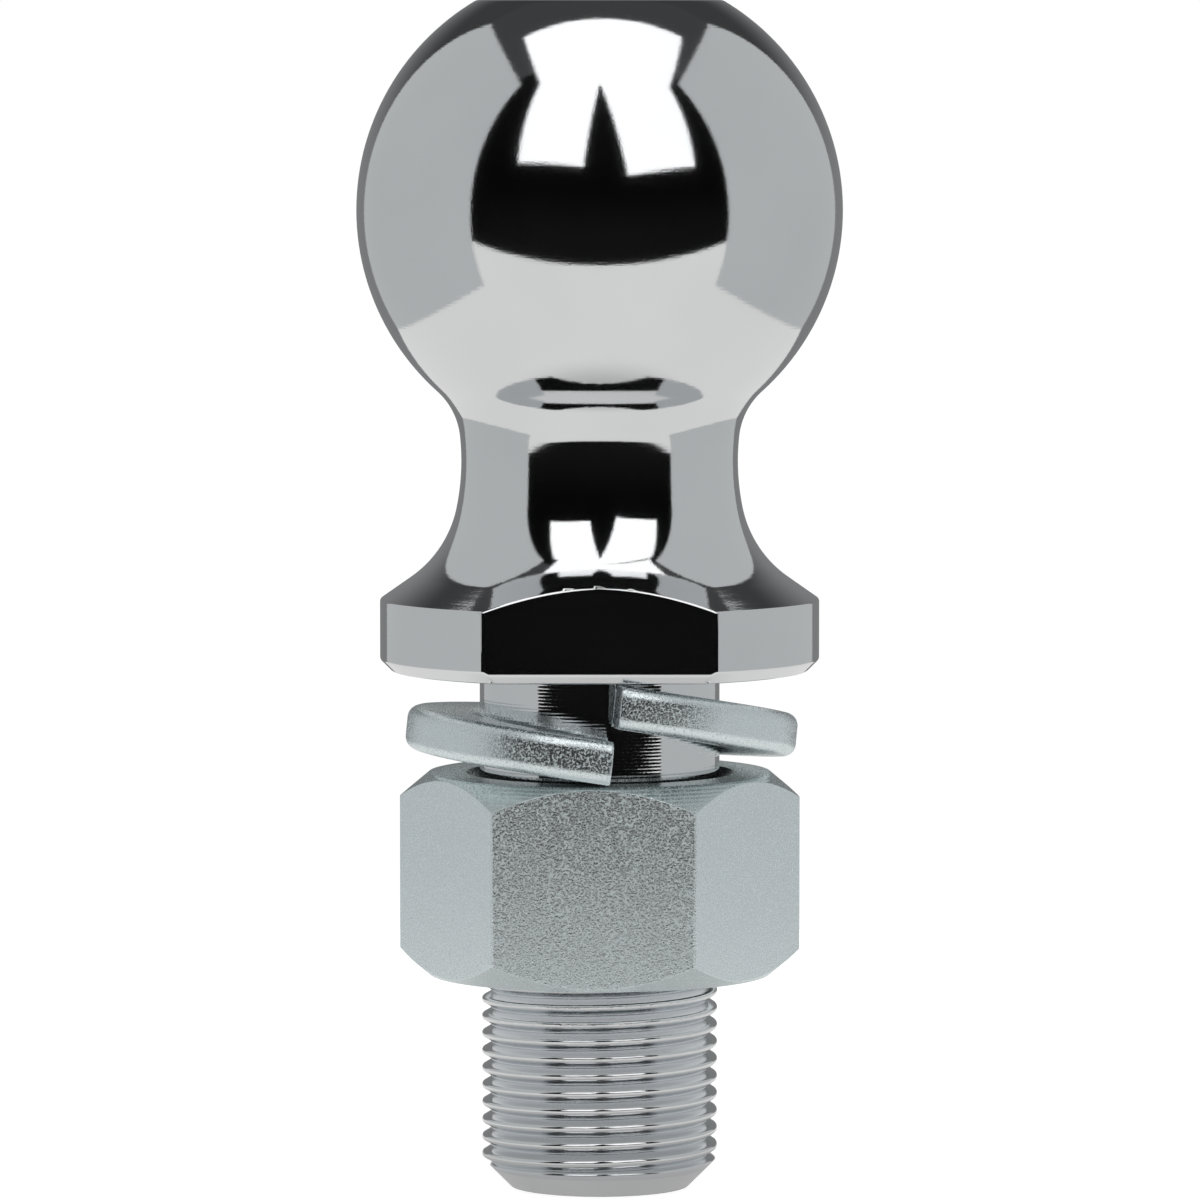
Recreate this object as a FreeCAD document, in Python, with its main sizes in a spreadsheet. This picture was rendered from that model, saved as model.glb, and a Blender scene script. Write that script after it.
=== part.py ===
import FreeCAD, Part
import math
import os

import Sketcher

# A trailer tow ball with its split spring washer and hex nut, in millimetres.
# The origin is the centre of the shank's lower end face, with +Z up the axis
# and the wrench flats facing -Y and +Y.

SIZES = (
    ("ball_diameter", 50.8, "two inch ball"),
    ("top_flat_diameter", 25.6, "flat turned on the top of the ball"),
    ("waist_diameter", 28.95, "narrowest part of the neck"),
    ("waist_rise", 21.93, "flange underside up to the waist"),
    ("ball_over_waist", 0.75, "waist up to the lowest point of the ball's sphere"),
    ("neck_top_radius", 7.4, "hollow curve where the neck meets the ball"),
    ("neck_waist_radius", 24.4, "long hollow curve at the waist"),
    ("neck_foot_radius", 11.9, "hollow curve that sweeps out to the flange"),
    ("flange_slope", 35.0, "slope of the flange's upper face, in degrees"),
    ("flange_diameter", 46.0, "round flange"),
    ("flange_side", 7.43, "height of the flange's side"),
    ("flange_rim_chamfer", 0.3, "broken edge at the top of the flange's side"),
    ("flange_foot_chamfer", 1.2, "chamfer of the flange's lower edge"),
    ("flats_across", 39.2, "distance across the two wrench flats"),
    ("flats_foot_chamfer", 0.9, "chamfer under each wrench flat"),
    ("shank_length", 54.4, "flange underside to the end of the shank"),
    ("shank_diameter", 25.14, "plain part of the shank"),
    ("thread_diameter", 24.74, "outside of the thread"),
    ("thread_end_chamfer", 3.0, "chamfer at the end of the shank"),
    ("thread_runout", 0.3, "height of the step from the thread to the shank"),
    ("centre_hole_diameter", 2.5, "pilot of the lathe centre in the end face"),
    ("centre_hole_depth", 5.0, "depth of that pilot"),
    ("centre_mouth_diameter", 5.3, "mouth of the lathe centre"),
    ("centre_angle", 60.0, "cone of the lathe centre, in degrees"),
    ("washer_room", 10.75, "flange underside down to the nut"),
    ("washer_free_height", 10.36, "split washer, not squeezed, along its own axis"),
    ("washer_thickness", 4.5, "height of the washer's section"),
    ("washer_outer_diameter", 40.8, "split washer"),
    ("washer_bore_clearance", 0.6, "washer's bore to the plain shank"),
    ("washer_edge_chamfer", 1.0, "chamfer of the washer's long edges"),
    ("washer_split", 0.8, "width of the gap between the washer's ends"),
    ("washer_split_turn", 5.2, "split, in degrees to the right of the front"),
    ("washer_lean", 7.0, "lean of the loose washer on the nut, in degrees"),
    ("washer_lean_way", 36.0, "way that it leans, in degrees from the right to the back"),
    ("washer_shift", 0.2, "loose washer's place to the right of the axis"),
    ("nut_across_flats", 36.5, "hex nut"),
    ("nut_height", 21.2, "hex nut"),
    ("nut_face_diameter", 35.8, "circle left flat on each end of the nut"),
    ("nut_chamfer_slope", 40.0, "slope of the nut's chamfers, in degrees"),
    ("nut_turn", 2.0, "turn of the nut from square to the front, in degrees"),
    ("nut_thread_clearance", 0.05, "nut's bore to the outside of the thread"),
    ("nut_mouth_reach", 1.45, "countersink's mouth to the plain shank"),
    ("nut_mouth_clearance", 0.5, "countersink to the end of the plain shank"),
)

WAIST_HEIGHT = "Sizes.shank_length + Sizes.waist_rise"
BALL_CENTRE = WAIST_HEIGHT + " + Sizes.ball_over_waist + Sizes.ball_diameter / 2"
NUT_TOP = "Sizes.shank_length - Sizes.washer_room"
NUT_MOUTH_RADIUS = "(Sizes.shank_diameter / 2 + Sizes.nut_mouth_reach)"
NUT_BORE_RADIUS = "(Sizes.thread_diameter / 2 + Sizes.nut_thread_clearance)"
NUT_CORNER_RADIUS = "(Sizes.nut_across_flats / 2 / cos(30 deg))"
WASHER_INNER = "(Sizes.shank_diameter / 2 + Sizes.washer_bore_clearance)"
WASHER_MEAN = "((Sizes.washer_outer_diameter / 2 + %s) / 2)" % WASHER_INNER
WASHER_TURNS = "(1 - Sizes.washer_split / (2 * pi * %s))" % WASHER_MEAN

FRONT = -90.0
WASHER_TURN = "(%s + Sizes.washer_split_turn - (1 - %s) * 180)" % (FRONT, WASHER_TURNS)
HEX_SIDES = 6
TOOL_MARGIN = 2.0

START, END, CENTRE = range(1, 4)
ORIGIN = (-1, 1)
VERTICAL_AXIS = -2

doc = FreeCAD.newDocument("TowBall")
sheet = doc.addObject("Spreadsheet::Sheet", "Sizes")
for row, (name, value, note) in enumerate(SIZES, start=1):
    sheet.set("A%d" % row, name)
    sheet.set("B%d" % row, str(value))
    sheet.set("C%d" % row, note)
    sheet.setAlias("B%d" % row, name)
doc.recompute()


def size(name):
    """One driving dimension, read from the sheet."""
    return float(sheet.get(name))


class Profile:
    """A closed sketch on one of a body's own planes, its sizes bound to the sheet."""

    def __init__(self, body, name, plane):
        self.sketch = body.newObject("Sketcher::SketchObject", name)
        origin_plane = next(f for f in body.Origin.OriginFeatures if f.Role == plane)
        self.sketch.AttachmentSupport = [(origin_plane, "")]
        self.sketch.MapMode = "FlatFace"

    def line(self, start, end):
        segment = Part.LineSegment(FreeCAD.Vector(*start, 0), FreeCAD.Vector(*end, 0))
        return self.sketch.addGeometry(segment, False)

    def arc(self, centre, radius, start, end):
        circle = Part.Circle(FreeCAD.Vector(*centre, 0), FreeCAD.Vector(0, 0, 1), radius)
        angles = (math.radians(start), math.radians(end))
        return self.sketch.addGeometry(Part.ArcOfCircle(circle, *angles), False)

    def rule(self, kind, *where):
        return self.sketch.addConstraint(Sketcher.Constraint(kind, *where))

    def bind(self, name, expression, kind, *where):
        """A dimension with a name of its own, worked out from the sheet."""
        index = self.rule(kind, *where)
        self.sketch.renameConstraint(index, name)
        self.sketch.setExpression("Constraints." + name, expression)

    def across(self, name, expression, point, now):
        """Distance of a point from the axis."""
        self.bind(name, expression, "DistanceX", *ORIGIN, *point, now)

    def up(self, name, expression, point, now):
        """Height of a point over the sketch's origin."""
        self.bind(name, expression, "DistanceY", *ORIGIN, *point, now)

    def polygon(self, points):
        """Closed run of straight lines, with its corners joined."""
        count = len(points)
        lines = [self.line(points[i], points[(i + 1) % count]) for i in range(count)]
        for i in range(count):
            self.rule("Coincident", lines[i], END, lines[(i + 1) % count], START)
        return lines


def polar(centre, radius, angle):
    """Point on a circle, at an angle in degrees."""
    turn = math.radians(angle)
    return (centre[0] + radius * math.cos(turn), centre[1] + radius * math.sin(turn))


def direction(start, end):
    """Angle of the way from one point to another, in degrees from 0 to 360."""
    return math.degrees(math.atan2(end[1] - start[1], end[0] - start[0])) % 360.0


def meet(first, first_radius, second, second_radius):
    """The point at the given distances from two centres, on the right of the way between them."""
    apart = math.dist(first, second)
    along = (first_radius ** 2 - second_radius ** 2 + apart ** 2) / (2.0 * apart)
    turn = math.degrees(math.acos(along / first_radius))
    return polar(first, first_radius, direction(first, second) - turn)


def new_body(name):
    body = doc.addObject("PartDesign::Body", name)
    body.Label = name
    return body


def feature(body, kind, name, **settings):
    """Add a PartDesign feature, set it up and make it the tip of its body."""
    item = body.newObject("PartDesign::" + kind, name)
    for key, value in settings.items():
        setattr(item, key, value)
    body.Tip = item
    return item


def edges_where(shape, test):
    """Names of the edges that pass a test."""
    return ["Edge%d" % (i + 1) for i, edge in enumerate(shape.Edges) if test(edge)]


def ball_profile(body):
    """Half outline of the forging: shank, flange, neck and ball, closed along the axis."""
    profile = Profile(body, "Outline", "XZ_Plane")

    thread = size("thread_diameter") / 2
    shank = size("shank_diameter") / 2
    flange = size("flange_diameter") / 2
    chamfer = size("thread_end_chamfer")
    under = size("shank_length")
    foot_chamfer = size("flange_foot_chamfer")
    nut_top = under - size("washer_room")
    shank_start = nut_top - size("nut_mouth_reach") + size("nut_mouth_clearance")
    thread_top = shank_start - size("thread_runout")
    rim = (flange, under + size("flange_side"))

    ball_radius = size("ball_diameter") / 2
    waist_height = under + size("waist_rise")
    ball = (0.0, waist_height + size("ball_over_waist") + ball_radius)
    top_radius = size("neck_top_radius")
    waist_radius = size("neck_waist_radius")
    foot_radius = size("neck_foot_radius")
    waist = (size("waist_diameter") / 2 + waist_radius, waist_height)
    neck_top = meet(ball, ball_radius + top_radius, waist, waist_radius - top_radius)

    # The foot curve touches the sloped face, so its centre lies on a line beside it.
    slope = size("flange_slope")
    outward = 90.0 - slope
    beside = polar(rim, foot_radius, outward)
    uphill = polar((0.0, 0.0), 1.0, 180.0 - slope)
    offset = (beside[0] - waist[0], beside[1] - waist[1])
    half = offset[0] * uphill[0] + offset[1] * uphill[1]
    reach = offset[0] ** 2 + offset[1] ** 2 - (waist_radius - foot_radius) ** 2
    run = math.sqrt(half ** 2 - reach) - half
    neck_foot = (beside[0] + run * uphill[0], beside[1] + run * uphill[1])
    slope_end = polar(neck_foot, foot_radius, outward + 180.0)

    flat = size("top_flat_diameter") / 2
    top = ball[1] + math.sqrt(ball_radius ** 2 - flat ** 2)
    flat_turn = math.degrees(math.acos(flat / ball_radius))
    low_turn = direction(waist, neck_foot)
    high_turn = direction(waist, neck_top)

    end_face = profile.line((0.0, 0.0), (thread - chamfer, 0.0))
    end_chamfer = profile.line((thread - chamfer, 0.0), (thread, chamfer))
    thread_side = profile.line((thread, chamfer), (thread, thread_top))
    runout = profile.line((thread, thread_top), (shank, shank_start))
    shank_side = profile.line((shank, shank_start), (shank, under))
    underside = profile.line((shank, under), (flange - foot_chamfer, under))
    flange_foot = profile.line((flange - foot_chamfer, under), (flange, under + foot_chamfer))
    flange_side = profile.line((flange, under + foot_chamfer), rim)
    upper_face = profile.line(rim, slope_end)
    foot_curve = profile.arc(neck_foot, foot_radius, low_turn, outward + 180.0)
    waist_curve = profile.arc(waist, waist_radius, high_turn, low_turn)
    top_curve = profile.arc(neck_top, top_radius, direction(neck_top, ball), high_turn)
    ball_curve = profile.arc(ball, ball_radius, direction(ball, neck_top) - 360.0, flat_turn)
    top_flat = profile.line((flat, top), (0.0, top))
    axis = profile.line((0.0, top), (0.0, 0.0))

    for first, second in (
        (end_face, end_chamfer), (end_chamfer, thread_side), (thread_side, runout),
        (runout, shank_side), (shank_side, underside), (underside, flange_foot),
        (flange_foot, flange_side), (flange_side, upper_face), (ball_curve, top_flat),
        (top_flat, axis), (axis, end_face),
    ):
        profile.rule("Coincident", first, END, second, START)
    for first, first_end, second, second_end in (
        (upper_face, END, foot_curve, END), (foot_curve, START, waist_curve, END),
        (waist_curve, START, top_curve, END), (top_curve, START, ball_curve, START),
    ):
        profile.rule("Tangent", first, first_end, second, second_end)
    for level in (end_face, underside, top_flat):
        profile.rule("Horizontal", level)
    for upright in (thread_side, shank_side, flange_side, axis):
        profile.rule("Vertical", upright)

    profile.rule("Coincident", end_face, START, *ORIGIN)
    profile.rule("PointOnObject", ball_curve, CENTRE, VERTICAL_AXIS)
    profile.across("thread", "Sizes.thread_diameter / 2", (thread_side, START), thread)
    profile.across(
        "end_face", "Sizes.thread_diameter / 2 - Sizes.thread_end_chamfer", (end_face, END), thread - chamfer)
    profile.up("end_chamfer", "Sizes.thread_end_chamfer", (end_chamfer, END), chamfer)
    shank_start_rule = NUT_TOP + " - Sizes.nut_mouth_reach + Sizes.nut_mouth_clearance"
    profile.up("thread_top", shank_start_rule + " - Sizes.thread_runout", (thread_side, END), thread_top)
    profile.up("shank_start", shank_start_rule, (shank_side, START), shank_start)
    profile.across("shank", "Sizes.shank_diameter / 2", (shank_side, START), shank)
    profile.up("underside", "Sizes.shank_length", (underside, START), under)
    profile.across("flange", "Sizes.flange_diameter / 2", (flange_side, START), flange)
    profile.across(
        "flange_face", "Sizes.flange_diameter / 2 - Sizes.flange_foot_chamfer",
        (underside, END), flange - foot_chamfer)
    profile.up(
        "flange_foot", "Sizes.shank_length + Sizes.flange_foot_chamfer",
        (flange_foot, END), under + foot_chamfer)
    profile.up("rim", "Sizes.shank_length + Sizes.flange_side", (flange_side, END), rim[1])
    profile.bind(
        "flange_slope", "(180 - Sizes.flange_slope) * 1 deg", "Angle", upper_face, math.radians(180.0 - slope))
    profile.bind("foot_curve", "Sizes.neck_foot_radius", "Radius", foot_curve, foot_radius)
    profile.bind("waist_curve", "Sizes.neck_waist_radius", "Radius", waist_curve, waist_radius)
    profile.bind("top_curve", "Sizes.neck_top_radius", "Radius", top_curve, top_radius)
    profile.bind("ball", "Sizes.ball_diameter / 2", "Radius", ball_curve, ball_radius)
    profile.across(
        "waist", "Sizes.waist_diameter / 2 + Sizes.neck_waist_radius", (waist_curve, CENTRE), waist[0])
    profile.up("waist_height", WAIST_HEIGHT, (waist_curve, CENTRE), waist[1])
    profile.up("ball_centre", BALL_CENTRE, (ball_curve, CENTRE), ball[1])
    profile.across("top_flat", "Sizes.top_flat_diameter / 2", (top_flat, START), flat)
    return profile.sketch


def make_tow_ball():
    """Ball, neck, flange and shank, turned from one forging, with two wrench flats."""
    body = new_body("tow_ball")
    outline = ball_profile(body)
    doc.recompute()
    turned = feature(body, "Revolution", "Turned", Profile=outline, ReferenceAxis=(outline, ["V_Axis"]), Angle=360)
    doc.recompute()

    rim_height = size("shank_length") + size("flange_side")
    rim_radius = size("flange_diameter") / 2

    def at_rim(edge):
        box = edge.BoundBox
        on_level = abs(box.ZMin - rim_height) < 0.01 and abs(box.ZMax - rim_height) < 0.01
        return on_level and hasattr(edge.Curve, "Radius") and abs(edge.Curve.Radius - rim_radius) < 0.01

    rim = feature(body, "Chamfer", "RimEdge", Base=(turned, edges_where(turned.Shape, at_rim)))
    rim.setExpression("Size", "Sizes.flange_rim_chamfer")
    doc.recompute()

    flat = Profile(body, "FlatOutline", "XY_Plane")
    half_width = size("flange_diameter") / 2 + TOOL_MARGIN
    near = -size("flats_across") / 2
    sides = flat.polygon(((-half_width, -half_width), (half_width, -half_width), (half_width, near), (-half_width, near)))
    for side in (0, 2):
        flat.rule("Horizontal", sides[side])
    for side in (1, 3):
        flat.rule("Vertical", sides[side])
    outside = "Sizes.flange_diameter / 2 + %s" % TOOL_MARGIN
    flat.bind("left", outside, "DistanceX", sides[0], START, *ORIGIN, half_width)
    flat.bind("right", outside, "DistanceX", *ORIGIN, sides[0], END, half_width)
    flat.bind("outside", outside, "DistanceY", sides[0], START, *ORIGIN, half_width)
    flat.bind("flat", "Sizes.flats_across / 2", "DistanceY", sides[2], START, *ORIGIN, -near)
    flat.sketch.setExpression("AttachmentOffset.Base.z", "Sizes.shank_length")
    doc.recompute()
    pocket = feature(body, "Pocket", "WrenchFlat", Profile=flat.sketch, Type="Length", Reversed=True)
    pocket.setExpression("Length", "Sizes.waist_rise")
    doc.recompute()
    both = feature(
        body, "PolarPattern", "WrenchFlats", Originals=[pocket],
        Axis=(flat.sketch, ["N_Axis"]), Angle=360, Occurrences=2)
    doc.recompute()

    flat_distance = size("flats_across") / 2
    under = size("shank_length")

    def under_flat(edge):
        box = edge.BoundBox
        on_flat = abs(abs(box.YMin) - flat_distance) < 0.01 and box.YLength < 0.01
        return on_flat and abs(box.ZMax - under) < 0.01

    foot = feature(body, "Chamfer", "FlatFoot", Base=(both, edges_where(both.Shape, under_flat)))
    foot.setExpression("Size", "Sizes.flats_foot_chamfer")
    doc.recompute()

    centre = Profile(body, "LatheCentre", "XY_Plane")
    circle = Part.Circle(FreeCAD.Vector(0, 0, 0), FreeCAD.Vector(0, 0, 1), size("centre_hole_diameter") / 2)
    ring = centre.sketch.addGeometry(circle, False)
    centre.rule("Coincident", ring, CENTRE, *ORIGIN)
    centre.bind("pilot", "Sizes.centre_hole_diameter", "Diameter", ring, size("centre_hole_diameter"))
    doc.recompute()
    hole = feature(body, "Hole", "CentreDrilling", Profile=centre.sketch, Reversed=True)
    doc.recompute()
    hole.DepthType = "Dimension"
    hole.HoleCutType = "Countersink"
    hole.HoleCutCustomValues = True
    hole.DrillPoint = "Angled"
    hole.setExpression("Diameter", "Sizes.centre_hole_diameter")
    hole.setExpression("Depth", "Sizes.centre_hole_depth")
    hole.setExpression("HoleCutDiameter", "Sizes.centre_mouth_diameter")
    hole.setExpression("HoleCutCountersinkAngle", "Sizes.centre_angle * 1 deg")
    return body


def make_lock_washer():
    """Spring washer: a bar coiled left handed through just under one turn, loose on the shank."""
    body = new_body("lock_washer")
    section = Profile(body, "Section", "XZ_Plane")
    inner = size("shank_diameter") / 2 + size("washer_bore_clearance")
    outer = size("washer_outer_diameter") / 2
    low = -size("washer_free_height") / 2
    high = low + size("washer_thickness")
    cut = size("washer_edge_chamfer")

    bottom, low_outer, outside, high_outer, top, high_inner, inside, low_inner = section.polygon((
        (inner + cut, low), (outer - cut, low), (outer, low + cut), (outer, high - cut),
        (outer - cut, high), (inner + cut, high), (inner, high - cut), (inner, low + cut)))
    for level in (bottom, top):
        section.rule("Horizontal", level)
    for upright in (outside, inside):
        section.rule("Vertical", upright)
    section.rule("Angle", low_outer, math.radians(45.0))
    section.rule("Parallel", low_outer, high_inner)
    section.rule("Perpendicular", low_outer, high_outer)
    section.rule("Perpendicular", low_outer, low_inner)
    for chamfer in (high_outer, high_inner, low_inner):
        section.rule("Equal", low_outer, chamfer)
    section.bind(
        "edge_chamfer", "Sizes.washer_edge_chamfer", "DistanceX", low_outer, START, low_outer, END, cut)
    section.across("inner", WASHER_INNER, (inside, START), inner)
    section.across("outer", "Sizes.washer_outer_diameter / 2", (outside, START), outer)
    section.bind("low", "Sizes.washer_free_height / 2", "DistanceY", bottom, START, *ORIGIN, -low)
    section.bind(
        "thickness", "Sizes.washer_thickness", "DistanceY", bottom, START, top, START, high - low)
    doc.recompute()

    coil = feature(
        body, "AdditiveHelix", "Coil", Profile=section.sketch,
        ReferenceAxis=(section.sketch, ["V_Axis"]), Mode="pitch-turns-angle", LeftHanded=True)
    coil.setExpression("Turns", WASHER_TURNS)
    coil.setExpression("Pitch", "(Sizes.washer_free_height - Sizes.washer_thickness) / %s" % WASHER_TURNS)

    # It stands with the inner edge of its lower end on the nut, and leans away from there.
    rest_radius = "(%s + Sizes.washer_edge_chamfer)" % WASHER_INNER
    rest_rise = "%s * sin(Sizes.washer_lean * 1 deg) * cos((%s - Sizes.washer_lean_way) * 1 deg)" % (
        rest_radius, WASHER_TURN)
    half_height = "Sizes.washer_free_height / 2 * cos(Sizes.washer_lean * 1 deg)"
    place = "create(<<vector>>; Sizes.washer_shift; 0; %s + %s + %s)" % (NUT_TOP, half_height, rest_rise)
    way = "Sizes.washer_lean_way * 1 deg"
    lean = "create(<<rotation>>; create(<<vector>>; -sin(%s); cos(%s); 0); Sizes.washer_lean)" % (way, way)
    turn = "create(<<rotation>>; create(<<vector>>; 0; 0; 1); %s)" % WASHER_TURN
    body.setExpression("Placement", "create(<<placement>>; %s; %s * %s)" % (place, lean, turn))
    return body


def make_hex_nut():
    """Hex nut, chamfered at both ends, its bore countersunk at both ends."""
    body = new_body("hex_nut")
    corner = size("nut_across_flats") / 2 / math.cos(math.radians(30.0))
    high = size("nut_height")

    hexagon = Profile(body, "Hexagon", "XY_Plane")
    sides = hexagon.polygon([polar((0.0, 0.0), corner, 60.0 * i) for i in range(HEX_SIDES)])
    ring = hexagon.sketch.addGeometry(
        Part.Circle(FreeCAD.Vector(0, 0, 0), FreeCAD.Vector(0, 0, 1), corner), True)
    hexagon.rule("Coincident", ring, CENTRE, *ORIGIN)
    for side in sides:
        hexagon.rule("PointOnObject", side, START, ring)
    for side in sides[1:]:
        hexagon.rule("Equal", sides[0], side)
    hexagon.rule("Horizontal", sides[1])
    hexagon.bind("corners", NUT_CORNER_RADIUS, "Radius", ring, corner)
    doc.recompute()
    blank = feature(body, "Pad", "Blank", Profile=hexagon.sketch, Type="Length")
    blank.setExpression("Length", "Sizes.nut_height")
    doc.recompute()

    face = size("nut_face_diameter") / 2
    beyond = corner + TOOL_MARGIN
    drop = (beyond - face) * math.tan(math.radians(size("nut_chamfer_slope")))
    beyond_rule = "%s + %s" % (NUT_CORNER_RADIUS, TOOL_MARGIN)
    drop_rule = "(%s - Sizes.nut_face_diameter / 2) * tan(Sizes.nut_chamfer_slope * 1 deg)" % beyond_rule
    chamfers = Profile(body, "Chamfers", "XZ_Plane")
    for end, level, away, level_rule, away_rule in (
        ("top", high, high - drop, "Sizes.nut_height", "Sizes.nut_height - %s" % drop_rule),
        ("bottom", 0.0, drop, None, drop_rule),
    ):
        rim, side, cone = chamfers.polygon(((face, level), (beyond, level), (beyond, away)))
        chamfers.rule("Horizontal", rim)
        chamfers.rule("Vertical", side)
        chamfers.across(end + "_face", "Sizes.nut_face_diameter / 2", (rim, START), face)
        chamfers.across(end + "_beyond", beyond_rule, (rim, END), beyond)
        chamfers.up(end + "_away", away_rule, (side, END), away)
        if level_rule:
            chamfers.up(end + "_level", level_rule, (rim, START), level)
        else:
            chamfers.rule("DistanceY", *ORIGIN, rim, START, 0.0)
    doc.recompute()
    feature(body, "Groove", "Corners", Profile=chamfers.sketch, ReferenceAxis=(chamfers.sketch, ["V_Axis"]), Angle=360)
    doc.recompute()

    bore = size("thread_diameter") / 2 + size("nut_thread_clearance")
    mouth = size("shank_diameter") / 2 + size("nut_mouth_reach")
    deep = mouth - bore
    deep_rule = "(%s - %s)" % (NUT_MOUTH_RADIUS, NUT_BORE_RADIUS)
    opening = Profile(body, "Bore", "XZ_Plane")
    low, low_cone, wall, high_cone, lid, axis = opening.polygon(
        ((0.0, 0.0), (mouth, 0.0), (bore, deep), (bore, high - deep), (mouth, high), (0.0, high)))
    for level in (low, lid):
        opening.rule("Horizontal", level)
    for upright in (wall, axis):
        opening.rule("Vertical", upright)
    opening.rule("Coincident", low, START, *ORIGIN)
    opening.across("low_mouth", NUT_MOUTH_RADIUS, (low, END), mouth)
    opening.across("bore", NUT_BORE_RADIUS, (wall, START), bore)
    opening.up("low_depth", deep_rule, (wall, START), deep)
    opening.up("high_depth", "Sizes.nut_height - %s" % deep_rule, (wall, END), high - deep)
    opening.across("high_mouth", NUT_MOUTH_RADIUS, (lid, START), mouth)
    opening.up("top", "Sizes.nut_height", (lid, START), high)
    doc.recompute()
    feature(body, "Groove", "ThreadBore", Profile=opening.sketch, ReferenceAxis=(opening.sketch, ["V_Axis"]), Angle=360)
    body.setExpression("Placement.Base.z", NUT_TOP + " - Sizes.nut_height")
    body.Placement.Rotation.Axis = FreeCAD.Vector(0, 0, 1)
    body.setExpression("Placement.Rotation.Angle", "-Sizes.nut_turn * 1 deg")
    return body


def check_document():
    """Stop if any object failed, or if a sketch is not closed or a dimension is not held."""
    for item in doc.Objects:
        if "Invalid" in item.State or "Error" in item.State:
            raise RuntimeError("%s failed to build: %s" % (item.Label, item.State))
        if item.isDerivedFrom("Sketcher::SketchObject") and not item.FullyConstrained:
            raise RuntimeError("%s is not fully constrained" % item.Label)


bodies = [make_tow_ball(), make_lock_washer(), make_hex_nut()]
doc.recompute()
check_document()
for piece in bodies:
    if piece.Shape.isNull() or not piece.Shape.isValid() or len(piece.Shape.Solids) != 1:
        raise RuntimeError("%s is not one valid solid" % piece.Label)

os.makedirs("parts", exist_ok=True)
for piece in bodies:
    piece.Shape.exportStep("parts/%s.step" % piece.Label)
    box = piece.Shape.optimalBoundingBox()
    print("%s: %.1f mm3, z %.2f to %.2f, x %.2f to %.2f" % (
        piece.Label, piece.Shape.Volume, box.ZMin, box.ZMax, box.XMin, box.XMax))
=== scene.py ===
"""A threaded tow ball: the chrome plated forging, its split lock washer and its hex nut, in a light tent."""

import math

import bmesh
import bpy
from bpy.props import FloatProperty, FloatVectorProperty, IntProperty, PointerProperty
from mathutils import Matrix, Vector


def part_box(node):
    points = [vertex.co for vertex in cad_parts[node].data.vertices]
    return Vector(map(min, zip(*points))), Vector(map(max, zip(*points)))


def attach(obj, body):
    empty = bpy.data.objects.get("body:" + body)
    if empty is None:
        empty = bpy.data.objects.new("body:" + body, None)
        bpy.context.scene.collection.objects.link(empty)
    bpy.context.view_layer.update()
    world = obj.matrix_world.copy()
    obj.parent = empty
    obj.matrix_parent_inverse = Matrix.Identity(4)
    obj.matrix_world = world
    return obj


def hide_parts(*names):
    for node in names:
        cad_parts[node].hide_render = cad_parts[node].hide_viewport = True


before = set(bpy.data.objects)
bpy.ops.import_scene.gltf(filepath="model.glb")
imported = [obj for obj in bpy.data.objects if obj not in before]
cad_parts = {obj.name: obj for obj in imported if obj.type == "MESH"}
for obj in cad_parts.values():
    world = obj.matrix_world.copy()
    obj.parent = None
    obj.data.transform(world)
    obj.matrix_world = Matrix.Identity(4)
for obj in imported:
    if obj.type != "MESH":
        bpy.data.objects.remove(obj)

bl_info = {
    "name": "Threaded Tow Ball",
    "version": (1, 0, 0),
    "blender": (4, 5, 0),
    "location": "3D View > Sidebar > Tow Ball",
    "description": "Builds a plated tow ball with its lock washer and nut, and the light tent around it",
    "category": "Object",
}

MM = 0.001
# Points closer than WELD are one point, and those closer than LEVEL lie at one height.
WELD = 0.001 * MM
LEVEL = 0.01 * MM
# The shortest edge that a cut leaves, and the width of the narrow ring round the lathe centre's mouth.
CLOSE = 0.12 * MM
# The step between the thread's top and the foot of the turned body above it.
GAP = 0.1 * MM
UP = Vector((0.0, 0.0, 1.0))
SENSOR_WIDTH = 36.0
BODY_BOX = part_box("tow_ball")
NUT_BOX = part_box("hex_nut")
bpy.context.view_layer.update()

# From a crest to the next groove: the share of half a pitch along the axis, and of the depth fallen.
THREAD_FLANK = ((0.05, 0.002), (0.12, 0.013), (0.20, 0.038), (0.28, 0.081), (0.34, 0.128), (0.40, 0.20),
                (0.63, 0.555), (0.88, 0.93), (0.945, 0.985), (1.0, 1.0))
# Depth of the rolled seam along the crests, as a share of the thread's depth.
SEAM = 0.012
# Turns of the thread that are drawn below the end face and above the run-out, and then cut off.
TURNS_BELOW = 3
SPARE_TURNS = 2

# Corners of the two lamp screens before the tent's open front, across and up, in millimetres.
LAMP_SCREENS = {
    "lamp_left": ((-690.0, 526.0), (-111.0, 420.0), (50.0, 2200.0), (-955.0, 2200.0)),
    "lamp_right": ((192.0, 360.0), (873.0, 522.0), (1148.0, 2200.0), (-72.0, 2200.0)),
}
# Corners of the bright ceiling, across and towards the back, in millimetres.
CEILING_CORNERS = ((-133.0, -143.0), (159.0, -124.0), (136.0, 57.0), (-125.0, 45.0))


def size(name, description, metres):
    """One length that a user may change."""
    return FloatProperty(name=name, description=description, default=metres, min=0.0, precision=5,
                         subtype="DISTANCE", unit="LENGTH")


def turning(name, description, degrees):
    """One angle that a user may change."""
    return FloatProperty(name=name, description=description, default=math.radians(degrees),
                         subtype="ANGLE", unit="ROTATION")


def share(name, description, amount, top=1.0):
    """One plain share or level that a user may change."""
    return FloatProperty(name=name, description=description, default=amount, min=0.0, max=top)


def count(name, description, number):
    """One number of steps that a user may change."""
    return IntProperty(name=name, description=description, default=number, min=3)


def tint(name, description, colour):
    """One colour that a user may change."""
    return FloatVectorProperty(name=name, description=description, default=colour, size=3,
                               min=0.0, max=1.0, subtype="COLOR")


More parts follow.
